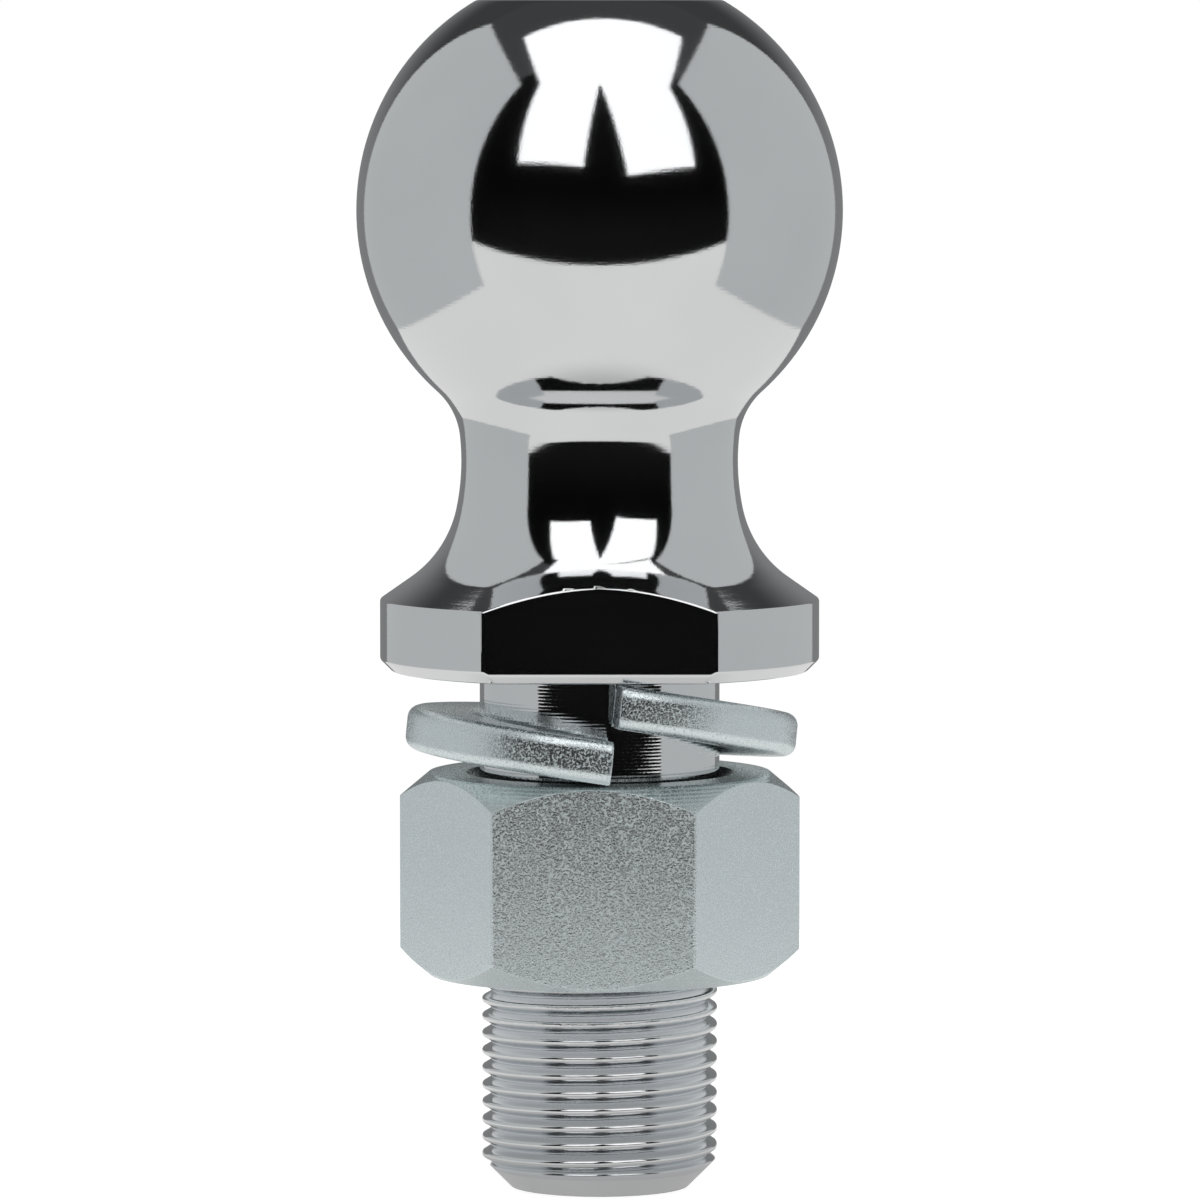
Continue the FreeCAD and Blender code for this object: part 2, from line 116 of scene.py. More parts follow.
class BallSizes(bpy.types.PropertyGroup):
    """Sizes of the forging above its thread."""
    top: size("Top", "Height of the flat on top of the ball", BODY_BOX[1].z)
    top_flat: size("Top flat", "Radius of the flat on top of the ball", 12.8 * MM)
    centre: size("Ball centre", "Height of the ball's centre", 102.48 * MM)
    throat: size("Throat", "Height where the ball runs into the neck", 83.62 * MM)
    throat_radius: size("Throat arc radius", "Radius at which the neck's top arc is centred", 21.97 * MM)
    throat_height: size("Throat arc height", "Height of the centre of the neck's top arc", 78.125 * MM)
    waist_top: size("Waist top", "Height where the waist's long arc starts", 78.91 * MM)
    waist_radius: size("Waist arc radius", "Radius at which the waist's arc is centred", 38.875 * MM)
    waist_height: size("Waist arc height", "Height of the centre of the waist's arc", 76.33 * MM)
    waist_foot: size("Waist foot", "Height where the waist's long arc ends", 71.42 * MM)
    foot_radius: size("Foot arc radius", "Radius at which the neck's foot arc is centred", 26.631 * MM)
    foot_height: size("Foot arc height", "Height of the centre of the neck's foot arc", 73.815 * MM)
    foot: size("Foot", "Height where the neck runs into the flange's cone", 64.07 * MM)
    rim: size("Rim", "Height of the flange's upper rim", 61.83 * MM)
    flange_radius: size("Flange radius", "Radius of the round flange", 23.0 * MM)
    flange_under: size("Flange underside", "Height of the flange's underside", 54.4 * MM)
    foot_chamfer: size("Flange foot chamfer", "Chamfer round the flange's underside", 1.2 * MM)
    flat_distance: size("Flat distance", "Distance from the axis to a wrench flat", 19.6 * MM)
    flat_chamfer: size("Flat foot chamfer", "Chamfer along the foot of a wrench flat", 0.9 * MM)
    flat_slope: share("Flat foot slope", "Height that the foot chamfer's normal falls for each unit out", 0.7)
    root_fillet: size("Root fillet", "Fillet between the flange and the shank", 0.4 * MM)
    shank_radius: size("Shank radius", "Radius of the plain shank", 12.57 * MM)
    shank_foot: size("Shank foot", "Height where the plain shank ends", 42.7 * MM)
    edge_break: size("Edge break", "Width of the rounding along the forging's edges", 0.3 * MM)
    flat_break: size("Flange edge break", "Width of the rounding along the flange's edges", 0.18 * MM)
    steps: count("Turned steps", "Steps round a turned surface", 192)


class ThreadSizes(bpy.types.PropertyGroup):
    """Sizes of the thread and of the shank's end."""
    crest: size("Crest radius", "Radius over the thread's crests", 12.37 * MM)
    root: size("Root radius", "Radius at the bottom of the thread's groove", 11.32 * MM)
    pitch: size("Pitch", "Rise of the thread in one turn", 25.4 / 14 * MM)
    phase: size("Phase", "Height of a crest where the thread crosses the X axis", 0.68 * MM)
    end: size("Thread end", "Height where the thread has run out", 42.4 * MM)
    fade: size("Run-out", "Length over which the groove gets shallow", 2.2 * MM)
    end_radius: size("End radius", "Radius of the flat end face", 9.37 * MM)
    mouth: size("Centre mouth", "Radius of the lathe centre's mouth", 2.65 * MM)
    pilot: size("Centre pilot", "Radius of the lathe centre's pilot", 1.25 * MM)
    cone_depth: size("Centre cone depth", "Depth of the lathe centre's cone", 2.42 * MM)
    pilot_depth: size("Centre pilot depth", "Depth of the lathe centre's pilot", 5.0 * MM)
    tip_depth: size("Centre tip depth", "Depth of the lathe centre's tip", 5.75 * MM)
    steps: count("Thread steps", "Steps in one turn of the thread", 96)


class WasherSizes(bpy.types.PropertyGroup):
    """Sizes of the split lock washer, which leans a little on the nut."""
    bore: size("Bore radius", "Radius of the washer's bore", 13.17 * MM)
    outer: size("Outer radius", "Outer radius of the washer", 20.4 * MM)
    thickness: size("Thickness", "Thickness of the washer's bar", 4.5 * MM)
    rounding: size("Edge rounding", "Rounding of the bar's edges", 1.25 * MM)
    rise: size("Rise", "How much the bar climbs in its turn", 5.86 * MM)
    start: turning("Start", "Where the lower end of the bar is", -86.17)
    sweep: turning("Sweep", "How far the bar goes round", 359.3)
    lean: turning("Lean", "How far the washer leans", 7.0)
    lean_way: turning("Lean way", "The side towards which the washer leans", 36.0)
    shift: size("Shift", "How far the washer sits off the axis", 0.2 * MM)
    middle: size("Middle", "Height of the washer's middle", 47.872 * MM)
    end_break: size("End break", "Width of the burr left along the sheared ends", 0.18 * MM)
    steps: count("Washer steps", "Steps along the washer's bar", 180)


class NutSizes(bpy.types.PropertyGroup):
    """Sizes of the hex nut."""
    apothem: size("Half across flats", "Distance from the axis to a side", 18.25 * MM)
    bottom: size("Bottom", "Height of the nut's lower face", NUT_BOX[0].z)
    top: size("Top", "Height of the nut's upper face", NUT_BOX[1].z)
    face: size("Face radius", "Radius of the round faces", 17.9 * MM)
    corner: size("Corner radius", "Radius to which the corners are turned", 20.98 * MM)
    slope: turning("Chamfer slope", "Slope of the chamfers at the corners", 40.0)
    turn: turning("Turn", "How far the nut is turned on the thread", -2.0)
    mouth: size("Mouth radius", "Radius of the countersinks", 14.02 * MM)
    bore: size("Bore radius", "Radius of the bore", 12.42 * MM)
    edge_break: size("Edge break", "Width of the rounding along the nut's edges", 0.22 * MM)
    steps: count("Nut steps", "Steps round the nut's turned parts", 192)


class Finishes(bpy.types.PropertyGroup):
    """Colours and roughness of the platings, with painted shade for the thread's grooves and for the nut's
    upward faces and mouths.
    """
    chrome: tint("Chrome", "Colour of the chrome plating", (0.80, 0.81, 0.82))
    chrome_haze: share("Chrome haze", "Roughness of the chrome plating", 0.055)
    # Painted shade: this darker groove colour darkens the thread towards the roots of its grooves, where
    # shade falls.
    groove: tint("Groove", "Colour of the thin plating in the thread's grooves", (0.71, 0.735, 0.76))
    groove_haze: share("Groove haze", "Roughness added deep in the thread's grooves", 0.13)
    crest_haze: share("Crest haze", "Roughness added over the rest of the thread", 0.015)
    ring_depth: size("Ring depth", "Depth of the faint turning rings", 0.004 * MM)
    feed: size("Feed", "Distance between the feed marks on the plain shank", 0.36 * MM)
    feed_depth: size("Feed depth", "Depth of the feed marks on the plain shank", 0.0016 * MM)
    score_depth: size("Score depth", "Depth of the scores along the thread", 0.008 * MM)
    nick_depth: size("Nick depth", "Depth of the nicks on the thread above its end", 0.03 * MM)
    chrome_grain: size("Chrome grain", "Depth of the chrome's own grain", 0.0025 * MM)
    zinc: tint("Zinc", "Colour of the zinc plating", (0.80, 0.87, 0.89))
    zinc_shade: tint("Zinc shade", "Duller patches of the zinc plating", (0.68, 0.73, 0.74))
    # Painted shade: this darker tint is laid over the nut's upward faces, its top chamfer and its top face.
    zinc_painted_top_shade: tint("Turned zinc", "Colour of the zinc over the nut's turned chamfers", (0.60, 0.66, 0.66))
    # Painted shadow: this near black fills the nut's countersunk mouths round the bore, where shade falls.
    painted_mouth_shadow: tint("Nut mouth", "Colour of the oily mouths of the nut's bore", (0.12, 0.12, 0.12))
    washer_haze: share("Washer haze", "Roughness of the washer's zinc", 0.22)
    washer_grain: size("Washer grain", "Size of the pits in the washer's zinc", 0.16 * MM)
    washer_pits: size("Washer pits", "Depth of the pits in the washer's zinc", 0.032 * MM)
    nut_haze: share("Nut haze", "Roughness of the nut's zinc", 0.2)
    nut_grain: size("Nut grain", "Size of the pits in the nut's zinc", 0.18 * MM)
    nut_pits: size("Nut pits", "Depth of the pits in the nut's zinc", 0.024 * MM)
    nut_feed: size("Nut feed", "Distance between the turned rings on the nut's chamfers", 0.42 * MM)
    nut_feed_depth: size("Nut feed depth", "Depth of the turned rings on the nut's chamfers", 0.005 * MM)


class TentSizes(bpy.types.PropertyGroup):
    """The light tent round the object, and the camera in front of it."""
    side: size("Side", "Distance from the axis to a side wall", 163.0 * MM)
    top_front: size("Top in front", "Height of the side walls at their front edges", 366.0 * MM)
    top_back: size("Top at the back", "Height of the side walls at the back", 375.0 * MM)
    front: size("Front", "How far the walls come forward of the axis", 97.0 * MM)
    back: size("Back", "Distance from the axis to the rear wall's foot", 240.0 * MM)
    back_top: size("Back at the top", "Distance from the axis to the rear wall's top", 191.0 * MM)
    roof_height: size("Roof height", "Height of the dull cloth", 430.0 * MM)
    ceiling: size("Ceiling", "Height of the bright ceiling", 387.0 * MM)
    roof_side: size("Roof side", "How far the dull cloth reaches to each side", 400.0 * MM)
    lamp_front: size("Lamp front", "Distance from the axis to the two lamp screens", 800.0 * MM)
    table_front: size("Table front", "How far the table comes forward of the axis", 244.0 * MM)
    table_side: size("Table side", "How far the table reaches to each side", 600.0 * MM)
    white: share("White", "Level of the ceiling and of the lamp screens", 1.28, 4.0)
    wall: share("Wall level", "Level of the side walls", 0.52, 4.0)
    roof: share("Roof level", "Level of the dull cloth round the bright ceiling", 0.055, 4.0)
    rear: share("Rear level", "Level of the rear wall", 0.22, 4.0)
    floor: share("Floor level", "Level of the table", 0.77, 4.0)
    dark: share("Dark level", "Level of the room beyond the tent's open front", 0.0022, 4.0)
    foot_shade: share("Foot shade", "Level of the table close to the object's foot", 0.46, 4.0)
    camera_distance: size("Camera distance", "Distance from the axis to the camera", 900.5 * MM)
    camera_height: size("Camera height", "Height of the camera", 128.6 * MM)
    camera_pitch: turning("Camera pitch", "How far the camera looks down", 4.25)
    camera_focal: share("Camera focal length", "Focal length in picture widths", 7.183, 20.0)
    camera_side: size("Camera side", "How far the camera stands to the right of the axis", 0.04 * MM)


class Pen:
    """Draws half of a turned outline in the XZ plane, as a chain of edges."""

    def __init__(self, mesh, radius, height):
        self.mesh = mesh
        self.tip = mesh.verts.new((radius, 0.0, height))

    def line(self, radius, height, steps=1):
        """Runs straight to a point, in equal steps."""
        stride = (Vector((radius, 0.0, height)) - self.tip.co) / steps
        for _ in range(steps):
            added = bmesh.ops.extrude_vert_indiv(self.mesh, verts=[self.tip])["verts"]
            bmesh.ops.translate(self.mesh, vec=stride, verts=added)
            self.tip = added[0]

    def arc(self, centre_radius, centre_height, height, hollow=False, step=math.radians(2.0)):
        """Follows the circle round a centre, through the tip, to a height."""
        centre = Vector((centre_radius, 0.0, centre_height))
        spoke = self.tip.co - centre
        start = math.atan2(spoke.z, spoke.x)
        end = math.asin((height - centre_height) / spoke.length)
        if hollow:
            start %= math.tau
            end = math.pi - end
        steps = math.ceil(abs(start - end) / step)
        made = bmesh.ops.spin(self.mesh, geom=[self.tip], cent=centre, axis=(0, 1, 0),
                              angle=start - end, steps=steps)
        self.tip = [part for part in made["geom_last"] if isinstance(part, bmesh.types.BMVert)][0]


def turn(mesh, steps):
    """Turns the drawn outline round the Z axis and closes its seam and poles."""
    bmesh.ops.spin(mesh, geom=mesh.verts[:] + mesh.edges[:], cent=(0, 0, 0), axis=UP,
                   angle=math.tau, steps=steps, use_merge=True)
    bmesh.ops.remove_doubles(mesh, verts=mesh.verts, dist=WELD)


def touching(parts, faces):
    """The vertices or edges that touch some faces, in the mesh's own order."""
    chosen = set(faces)
    return [part for part in parts if any(face in chosen for face in part.link_faces)]


def shear(mesh, faces, point, normal):
    """Cuts away what lies beyond a plane and closes the cut with one flat face."""
    geometry = touching(mesh.verts, faces) + touching(mesh.edges, faces) + list(faces)
    cut = bmesh.ops.bisect_plane(mesh, geom=geometry, dist=WELD, plane_co=point, plane_no=normal,
                                 clear_outer=True)
    corners = [part for part in cut["geom_cut"] if isinstance(part, bmesh.types.BMVert)]
    bmesh.ops.remove_doubles(mesh, verts=corners, dist=CLOSE)
    kept = {vert for vert in corners if vert.is_valid}
    rim = [edge for edge in mesh.edges if edge.is_boundary and kept.issuperset(edge.verts)]
    bmesh.ops.edgeloop_fill(mesh, edges=rim)


def break_edges(mesh, edges, width, segments=3, clamp=True):
    """Rounds edges a little, as tumbling and plating do."""
    bmesh.ops.bevel(mesh, geom=edges, offset=width, offset_type="OFFSET", segments=segments, profile=0.5,
                    affect="EDGES", material=-1, clamp_overlap=clamp)


def sharp_edges(mesh, degrees=28.0):
    """Edges at which the surface turns by more than an angle."""
    limit = math.radians(degrees)
    return [edge for edge in mesh.edges if len(edge.link_faces) == 2 and edge.calc_face_angle() > limit]


def rims(mesh, height):
    """Open edges at one height."""
    return [edge for edge in mesh.edges
            if edge.is_boundary and all(abs(vert.co.z - height) < LEVEL for vert in edge.verts)]


def join(mesh, added):
    """Puts one mesh into another."""
    data = bpy.data.meshes.new("joined")
    added.to_mesh(data)
    added.free()
    mesh.from_mesh(data)
    bpy.data.meshes.remove(data)


def finish_piece(mesh, name, node, body, material):
    """Makes a piece of a mesh, gives it its material and its place in the frame."""
    bmesh.ops.recalc_face_normals(mesh, faces=mesh.faces)
    for face in mesh.faces:
        face.smooth = True
    data = bpy.data.meshes.new(name)
    mesh.to_mesh(data)
    mesh.free()
    data.materials.append(material)
    piece = bpy.data.objects.new(name, data)
    bpy.context.scene.collection.objects.link(piece)
    weighting = piece.modifiers.new("Weighted normals", "WEIGHTED_NORMAL")
    weighting.weight = 100
    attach(piece, body)
    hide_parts(node)


class Field:
    """A value in a node tree that Python's operators work on."""

    def __init__(self, graph, socket):
        self.graph = graph
        self.socket = socket

    def __add__(self, other):
        return self.graph.maths("ADD", self, other)

    def __radd__(self, other):
        return self.graph.maths("ADD", other, self)

    def __sub__(self, other):
        return self.graph.maths("SUBTRACT", self, other)

    def __rsub__(self, other):
        return self.graph.maths("SUBTRACT", other, self)

    def __mul__(self, other):
        return self.graph.maths("MULTIPLY", self, other)

    def __rmul__(self, other):
        return self.graph.maths("MULTIPLY", other, self)

    def __gt__(self, other):
        return self.graph.maths("GREATER_THAN", self, other)

    def __lt__(self, other):
        return self.graph.maths("LESS_THAN", self, other)


class Graph:
    """A material's or the world's node tree, emptied and built again."""

    def __init__(self, owner):
        owner.use_nodes = True
        self.tree = owner.node_tree
        self.tree.nodes.clear()

    def node(self, kind, settings=None, sockets=None):
        """Adds a node, sets its settings and then feeds its sockets."""
        made = self.tree.nodes.new(kind)
        for name, value in (settings or {}).items():
            setattr(made, name, value)
        for name, value in (sockets or {}).items():
            if isinstance(value, Field):
                value = value.socket
            if isinstance(value, bpy.types.NodeSocket):
                self.tree.links.new(value, made.inputs[name])
            else:
                made.inputs[name].default_value = value
        return made

    def maths(self, operation, first, second=0.0):
        """Adds a Math node."""
        made = self.node("ShaderNodeMath", {"operation": operation}, {0: first, 1: second})
        return Field(self, made.outputs[0])

    def place(self):
        """The point on the object, as a vector socket, and its three coordinates."""
        point = self.node("ShaderNodeTexCoord").outputs["Object"]
        axes = self.node("ShaderNodeSeparateXYZ", None, {0: point})
        return point, [Field(self, axis) for axis in axes.outputs]

    def noise(self, vector, scale, detail=2.0, roughness=0.5):
        """A noise value between 0 and 1, over a vector."""
        made = self.node("ShaderNodeTexNoise", None,
                         {"Vector": vector, "Scale": scale, "Detail": detail, "Roughness": roughness})
        return Field(self, made.outputs["Fac"])

    def ramp(self, value, low, high, first=0.0, last=1.0):
        """Maps a value smoothly from one span to another."""
        made = self.node("ShaderNodeMapRange", {"interpolation_type": "SMOOTHSTEP"},
                         {0: value, 1: low, 2: high, 3: first, 4: last})
        return Field(self, made.outputs[0])

    def vector(self, x, y, z):
        """Joins three values into a vector socket."""
        return self.node("ShaderNodeCombineXYZ", None, {0: x, 1: y, 2: z}).outputs[0]

    def blend(self, factor, first, second):
        """Mixes two colours."""
        made = self.node("ShaderNodeMix", {"data_type": "RGBA"}, {0: factor, 6: first, 7: second})
        return made.outputs[2]

    def bump(self, height, distance, normal=None):
        """Turns a height into a bent normal."""
        sockets = {"Height": height, "Distance": distance}
        if normal is not None:
            sockets["Normal"] = normal
        return self.node("ShaderNodeBump", None, sockets).outputs[0]

    def finish(self, kind, shader):
        """Joins the shader to the tree's output."""
        self.node(kind, None, {"Surface": shader})


def opaque(colour):
    """A colour with its alpha."""
    return (*colour, 1.0)


def chrome_plate(finishes, sizes, thread):
    """Polished chrome over a turned forging: faint turning rings, rougher in the thread's grooves, and
    painted shade that darkens them.
    """
    material = bpy.data.materials.new("chrome_plate")
    graph = Graph(material)
    point, (x, y, z) = graph.place()
    radius = graph.maths("SQRT", x * x + y * y)
    rings = graph.noise(graph.vector(radius * 0.8, 0.0, z), scale=2000.0, detail=3.0, roughness=0.6)
    drift = graph.noise(point, scale=60.0)
    grain = graph.noise(point, scale=5200.0, detail=1.0)
    unevenness = graph.noise(graph.vector(0.0, 0.0, z), scale=3000.0, roughness=0.7)
    shank = (z > sizes.shank_foot) * (z < sizes.flange_under)
    feed = graph.maths("SINE", z * (math.tau / finishes.feed)) * (0.5 + unevenness)
    rolled = z < thread.end
    score_place = graph.vector(radius * 0.6, 0.02 * (x - y), z)
    scores = graph.noise(score_place, scale=4500.0, detail=3.0, roughness=0.7)
    nicks = graph.noise(point, scale=1800.0, detail=3.0, roughness=0.7)
    nick_depth = graph.ramp(z, low=14.0 * MM, high=20.0 * MM,
                            first=finishes.score_depth, last=finishes.nick_depth)
    worn = rolled * (scores * finishes.score_depth + nicks * nick_depth)
    cuts = rings * finishes.ring_depth + feed * shank * finishes.feed_depth + worn
    surface = graph.bump(grain, finishes.chrome_grain, graph.bump(cuts, 1.0))
    thread_haze = graph.ramp(radius, low=thread.crest - 0.8 * MM, high=thread.crest - 0.5 * MM,
                             first=finishes.groove_haze, last=finishes.crest_haze)
    haze = finishes.chrome_haze * (0.7 + 0.6 * drift) + 0.03 * rings * drift + thread_haze * rolled
    # Painted shade: this mask blends the groove colour in, fully at the roots and faintly over the crests.
    groove = graph.ramp(radius, low=thread.root, high=thread.crest, first=1.0, last=0.15)
    groove = rolled * (radius > thread.root - LEVEL) * groove
    drifted = opaque([0.96 * part for part in finishes.chrome])
    shade = graph.blend(graph.ramp(drift, low=0.35, high=0.75), opaque(finishes.chrome), drifted)
    shade = graph.blend(groove, shade, opaque(finishes.groove))
    shader = graph.node("ShaderNodeBsdfPrincipled", None, {
        "Base Color": shade, "Metallic": 1.0, "Roughness": haze, "Normal": surface})
    graph.finish("ShaderNodeOutputMaterial", shader.outputs[0])
    return material


def zinc_plate(name, finishes, grain, depth, haze, mouth=0.0):
    """Bright zinc over steel, pitted by a fine grain; where a nut has them, turned rings on its upward faces,
    painted shade that darkens those faces, and a painted shadow in its mouths.
    """
    material = bpy.data.materials.new(name)
    graph = Graph(material)
    point, (x, y, _z) = graph.place()
    pits = graph.noise(point, scale=1.0 / grain, roughness=0.6)
    drift = graph.noise(point, scale=110.0, detail=3.0)
    patches = graph.ramp(pits, low=0.45, high=0.75) * drift
    shade = graph.blend(patches, opaque(finishes.zinc), opaque(finishes.zinc_shade))
    height = pits * depth
    if mouth:
        radius = graph.maths("SQRT", x * x + y * y)
        normal = graph.node("ShaderNodeNewGeometry").outputs["Normal"]
        slant = Field(graph, graph.node("ShaderNodeSeparateXYZ", None, {0: normal}).outputs["Z"])
        chamfer = graph.ramp(slant, low=0.30, high=0.60)
        feed = graph.maths("SINE", radius * (math.tau / finishes.nut_feed))
        height = height * (1.0 - 0.8 * chamfer) + feed * chamfer * finishes.nut_feed_depth
        # Painted shade: the upward faces are darkened towards the tint below; the turned rings in the height
        # above are real.
        shade = graph.blend(chamfer * 0.8, shade, opaque(finishes.zinc_painted_top_shade))
        # Painted shadow: everything inside the mouth radius is coloured near black.
        shade = graph.blend(radius < mouth, shade, opaque(finishes.painted_mouth_shadow))
    surface = graph.bump(height, 1.0)
    flecks = graph.noise(point, scale=0.8 / grain, detail=1.0)
    dull = graph.ramp(flecks, low=0.49, high=0.66, first=0.95 * haze, last=3.3 * haze)
    shader = graph.node("ShaderNodeBsdfPrincipled", None, {
        "Base Color": shade, "Metallic": 1.0, "Roughness": dull, "Normal": surface})
    graph.finish("ShaderNodeOutputMaterial", shader.outputs[0])
    return material


def tent_cloth(name, level, colour, dims_upwards=False):
    """A cloth of the tent, which lights the object and which the camera looks through."""
    material = bpy.data.materials.new(name)
    graph = Graph(material)
    strength = level
    if dims_upwards:
        _point, (_x, _y, z) = graph.place()
        strength = level * graph.ramp(z, low=100.0 * MM, high=270.0 * MM, first=1.0, last=0.22)
    glow = graph.node("ShaderNodeEmission", None, {"Color": opaque(colour), "Strength": strength})
    clear = graph.node("ShaderNodeBsdfTransparent")
    camera_ray = graph.node("ShaderNodeLightPath").outputs["Is Camera Ray"]
    seen = graph.node("ShaderNodeMixShader", None, {0: camera_ray, 1: glow.outputs[0], 2: clear.outputs[0]})
    graph.finish("ShaderNodeOutputMaterial", seen.outputs[0])
    return material


def panel(name, corners, material):
    """A flat panel of the tent: a square whose corners are moved to the four that are given."""
    mesh = bmesh.new()
    bmesh.ops.create_grid(mesh, x_segments=1, y_segments=1, size=1.0)
    for vert in mesh.verts:
        vert.co = Vector(corners[(vert.co.x > 0, vert.co.y > 0)])
    data = bpy.data.meshes.new(name)
    mesh.to_mesh(data)
    mesh.free()
    data.materials.append(material)
    sheet = bpy.data.objects.new(name, data)
    bpy.context.scene.collection.objects.link(sheet)


def four_corners(first, second, third, fourth):
    """Names four corners by the square's corner that each takes the place of."""
    return {(False, False): first, (True, False): second, (True, True): third, (False, True): fourth}


class TOWBALL_OT_forging(bpy.types.Operator):
    """Build the ball, its neck, its flange and its threaded shank"""
    bl_idname = "towball.forging"
    bl_label = "Build Forging"

    def execute(self, context):
        scene = context.scene
        sizes = scene.tow_ball_sizes
        thread = scene.tow_ball_thread
        mesh = bmesh.new()
        self.turn_body(mesh, sizes, thread)
        self.cut_flats(mesh, sizes)
        self.break_body(mesh, sizes)
        join(mesh, self.roll_thread(thread))
        bmesh.ops.bridge_loops(mesh, edges=rims(mesh, thread.end) + rims(mesh, thread.end + GAP))
        self.draw_end(mesh, thread)
        plating = chrome_plate(scene.tow_ball_finishes, sizes, thread)
        finish_piece(mesh, "plated_forging", "tow_ball", "ball", plating)
        return {"FINISHED"}

    def turn_body(self, mesh, sizes, thread):
        """Turns everything above the thread."""
        pen = Pen(mesh, 0.0, sizes.top)
        pen.line(sizes.top_flat, sizes.top, steps=4)
        pen.arc(0.0, sizes.centre, sizes.throat)
        pen.arc(sizes.throat_radius, sizes.throat_height, sizes.waist_top, hollow=True)
        pen.arc(sizes.waist_radius, sizes.waist_height, sizes.waist_foot, hollow=True)
        pen.arc(sizes.foot_radius, sizes.foot_height, sizes.foot, hollow=True)
        pen.line(sizes.flange_radius, sizes.rim)
        pen.line(sizes.flange_radius, sizes.flange_under + sizes.foot_chamfer)
        pen.line(sizes.flange_radius - sizes.foot_chamfer, sizes.flange_under)
        pen.line(sizes.shank_radius + sizes.root_fillet, sizes.flange_under, steps=4)
        pen.arc(sizes.shank_radius + sizes.root_fillet, sizes.flange_under - sizes.root_fillet,
                sizes.flange_under - sizes.root_fillet, hollow=True, step=math.radians(15.0))
        pen.line(sizes.shank_radius, sizes.shank_foot, steps=10)
        pen.line(thread.crest, thread.end + GAP)
        turn(mesh, sizes.steps)

    def flange_faces(self, mesh, sizes):
        """Faces of the flange and of the foot of the neck."""
        return [face for face in mesh.faces
                if sizes.flange_under - WELD < face.calc_center_median().z < sizes.waist_foot]

    def cut_flats(self, mesh, sizes):
        """Cuts the two wrench flats, with the chamfer along the foot of each."""
        for side in (-1.0, 1.0):
            out = Vector((0.0, side, 0.0))
            foot = out * sizes.flat_distance + UP * (sizes.flange_under + sizes.flat_chamfer)
            shear(mesh, self.flange_faces(mesh, sizes), out * sizes.flat_distance, out)
            down = (out - sizes.flat_slope * UP).normalized()
            shear(mesh, self.flange_faces(mesh, sizes), foot, down)

    def break_body(self, mesh, sizes):
        """Breaks the sharp edges, those of the flange less than the others."""
        bmesh.ops.recalc_face_normals(mesh, faces=mesh.faces)
        sharp = sharp_edges(mesh, degrees=20.0)
        flange = {edge for edge in sharp
                  if all(sizes.flange_under - WELD < vert.co.z < sizes.waist_foot for vert in edge.verts)}
        break_edges(mesh, [edge for edge in sharp if edge not in flange], sizes.edge_break)
        break_edges(mesh, [edge for edge in mesh.edges if edge in flange], sizes.flat_break, clamp=False)

    def draw_thread(self, mesh, thread):
        """Draws one pitch of the thread, from groove to groove over a crest with its rolled seam."""
        half = 0.5 * thread.pitch
        middle = thread.phase - TURNS_BELOW * thread.pitch
        depth = thread.crest - thread.root
        pen = Pen(mesh, thread.root, middle - half)
        flank = [(-way, fall) for way, fall in reversed(THREAD_FLANK)]
        for way, fall in flank + [(0.0, SEAM)] + list(THREAD_FLANK):
            pen.line(thread.crest - fall * depth, middle + way * half)

    def roll_thread(self, thread):
        """Rolls the thread, fades it out at its top and chamfers it at its end."""
        mesh = bmesh.new()
        self.draw_thread(mesh, thread)
        bmesh.ops.spin(mesh, geom=mesh.verts[:] + mesh.edges[:], cent=(0, 0, 0), axis=UP,
                       angle=math.tau, steps=thread.steps, dvec=UP * thread.pitch / thread.steps)
        one_turn = mesh.verts[:] + mesh.edges[:] + mesh.faces[:]
        for turn_number in range(1, math.ceil(thread.end / thread.pitch) + TURNS_BELOW + SPARE_TURNS):
            copied = bmesh.ops.duplicate(mesh, geom=one_turn)["geom"]
            raised = [part for part in copied if isinstance(part, bmesh.types.BMVert)]
            bmesh.ops.translate(mesh, vec=UP * thread.pitch * turn_number, verts=raised)
        bmesh.ops.remove_doubles(mesh, verts=mesh.verts, dist=WELD)
        depth = thread.crest - thread.root
        for vert in mesh.verts:
            radius = math.hypot(vert.co.x, vert.co.y)
            faded = thread.crest - depth * min(max((thread.end - vert.co.z) / thread.fade, 0.0), 1.0)
            wanted = min(max(radius, faded), thread.end_radius + vert.co.z)
            vert.co.x *= wanted / radius
            vert.co.y *= wanted / radius
        for height, way in ((0.0, -1.0), (thread.end, 1.0)):
            bmesh.ops.bisect_plane(mesh, geom=mesh.verts[:] + mesh.edges[:] + mesh.faces[:], dist=WELD,
                                   plane_co=UP * height, plane_no=UP * way, clear_outer=True)
        return mesh

    def draw_end(self, mesh, thread):
        """Draws the thread's rim in over the end face and into its lathe centre."""
        rim = rims(mesh, 0.0)
        reach, depth = thread.end_radius, 0.0
        for radius, height in ((thread.mouth + CLOSE, 0.0), (thread.mouth, 0.0),
                               (thread.pilot, thread.cone_depth), (thread.pilot, thread.pilot_depth),
                               (0.0, thread.tip_depth)):
            drawn = bmesh.ops.extrude_edge_only(mesh, edges=rim)["geom"]
            corners = [part for part in drawn if isinstance(part, bmesh.types.BMVert)]
            rim = [part for part in drawn if isinstance(part, bmesh.types.BMEdge) and part.is_boundary]
            bmesh.ops.scale(mesh, vec=(radius / reach, radius / reach, 1.0), verts=corners)
            bmesh.ops.translate(mesh, vec=UP * (height - depth), verts=corners)
            reach, depth = radius, height
        bmesh.ops.remove_doubles(mesh, verts=corners, dist=WELD)


